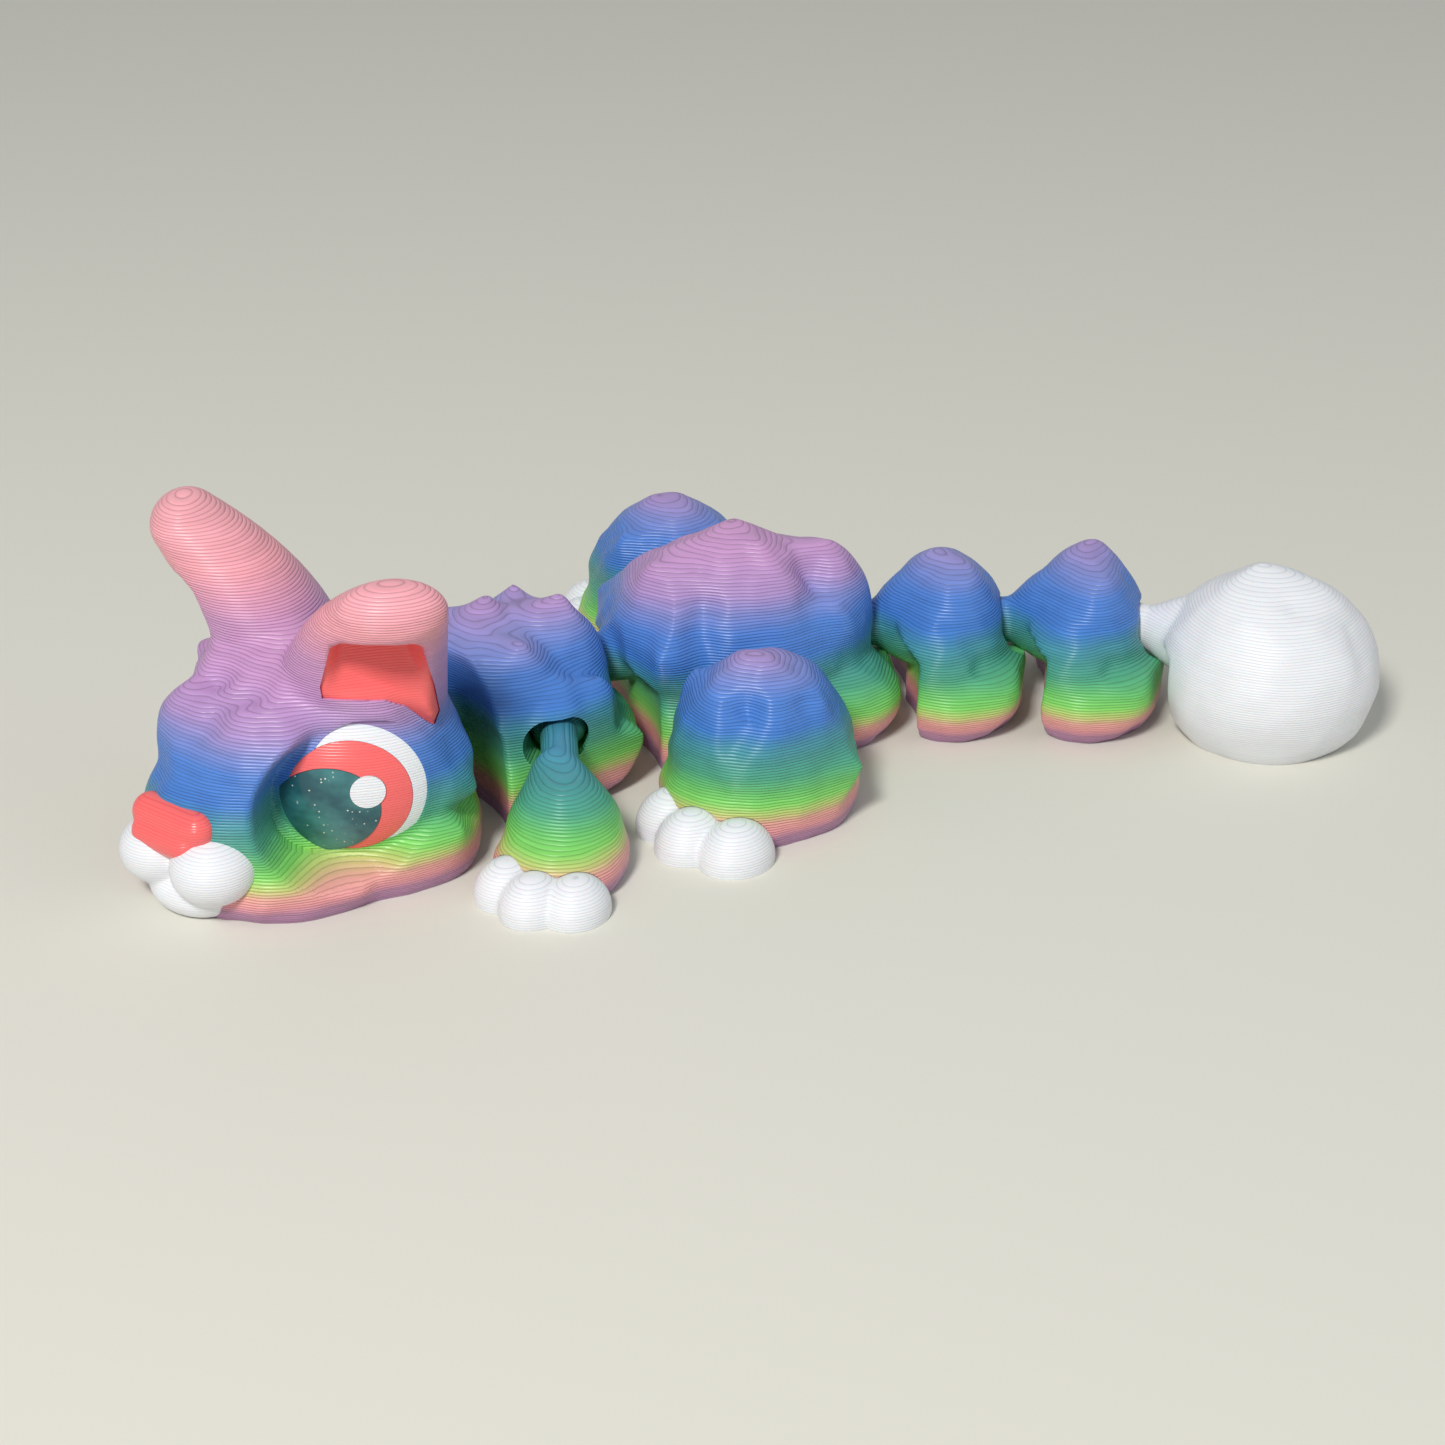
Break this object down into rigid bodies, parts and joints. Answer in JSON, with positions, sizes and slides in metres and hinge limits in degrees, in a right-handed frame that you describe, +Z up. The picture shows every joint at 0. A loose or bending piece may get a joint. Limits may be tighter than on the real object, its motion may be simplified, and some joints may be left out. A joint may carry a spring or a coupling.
{
  "type": "articulated toy bunny",
  "caption": "Print-in-place toy bunny lying flat: plump links, legs and a round tail snapped together by captive ball joints, with inlaid eyes, ears and paws.",
  "frame": {"origin": "middle of the rump's flat underside, on the surface that the toy lies on", "axes": "+X along the toy towards the tail, +Z up, -Y the bunny's left side (the side seen in the picture)"},
  "size_m": [0.0982, 0.0582, 0.0252],
  "materials": {
    "rainbow_filament": "satin filament whose colour runs from mauve at the bed through pink, green, teal, blue and lilac to pink at the ear tips; blue is the average",
    "white_filament": "satin white filament with visible layers",
    "coral_filament": "satin coral filament",
    "glitter_teal": "dark translucent teal filament with fine glitter"
  },
  "bodies": {
    "body": {"body_shell": "rainbow_filament"},
    "chest": {"chest_shell": "rainbow_filament"},
    "head": {"head_shell": "rainbow_filament", "muzzle": "white_filament", "nose": "coral_filament", "left_eye_white": "white_filament", "left_iris": "coral_filament", "left_pupil": "glitter_teal", "left_highlight": "white_filament", "left_inner_ear": "coral_filament", "right_eye_white": "white_filament", "right_iris": "coral_filament", "right_pupil": "glitter_teal", "right_highlight": "white_filament", "right_inner_ear": "coral_filament"},
    "front_left_leg": {"front_left_leg": "rainbow_filament", "front_left_toes": "white_filament"},
    "front_right_leg": {"front_right_leg": "rainbow_filament", "front_right_toes": "white_filament"},
    "rear_left_leg": {"rear_left_leg": "rainbow_filament", "rear_left_toes": "white_filament"},
    "rear_right_leg": {"rear_right_leg": "rainbow_filament", "rear_right_toes": "white_filament"},
    "tail_link_1": {"tail_link_1": "rainbow_filament"},
    "tail_link_2": {"tail_link_2": "rainbow_filament"},
    "tail_ball": {"tail_ball": "white_filament"}
  },
  "joints": [
    {"name": "waist_joint", "type": "hinge", "parent": "body", "child": "chest", "pos_m": [-0.01631, -0.00171, 0.007], "axis": [0, 0, 1], "range_deg": [-44, 2]},
    {"name": "neck_joint", "type": "hinge", "parent": "chest", "child": "head", "pos_m": [-0.03051, -0.00864, 0.007], "axis": [0, 0, 1], "range_deg": [-28, 7]},
    {"name": "tail_joint_1", "type": "hinge", "parent": "body", "child": "tail_link_1", "pos_m": [0.00676, 0.00071, 0.007], "axis": [0, 0, 1], "range_deg": [-12, 38]},
    {"name": "tail_joint_2", "type": "hinge", "parent": "tail_link_1", "child": "tail_link_2", "pos_m": [0.01785, -0.00085, 0.007], "axis": [0, 0, 1], "range_deg": [-16, 32]},
    {"name": "tail_joint_3", "type": "hinge", "parent": "tail_link_2", "child": "tail_ball", "pos_m": [0.02862, -0.00394, 0.007], "axis": [0, 0, 1], "range_deg": [-4, 46]},
    {"name": "front_left_shoulder", "type": "hinge", "parent": "chest", "child": "front_left_leg", "pos_m": [-0.01738, -0.01002, 0.0063], "axis": [0, 0, 1], "range_deg": [-6, 3]},
    {"name": "front_right_shoulder", "type": "hinge", "parent": "chest", "child": "front_right_leg", "pos_m": [-0.02351, 0.00256, 0.0063], "axis": [0, 0, 1], "range_deg": [-8, 6]},
    {"name": "rear_left_hip", "type": "hinge", "parent": "body", "child": "rear_left_leg", "pos_m": [-0.0003, -0.00667, 0.0063], "axis": [0, 0, 1], "range_deg": [-2, 8]},
    {"name": "rear_right_hip", "type": "hinge", "parent": "body", "child": "rear_right_leg", "pos_m": [-0.00168, 0.00646, 0.0063], "axis": [0, 0, 1], "range_deg": [-8, 8]}
  ]
}
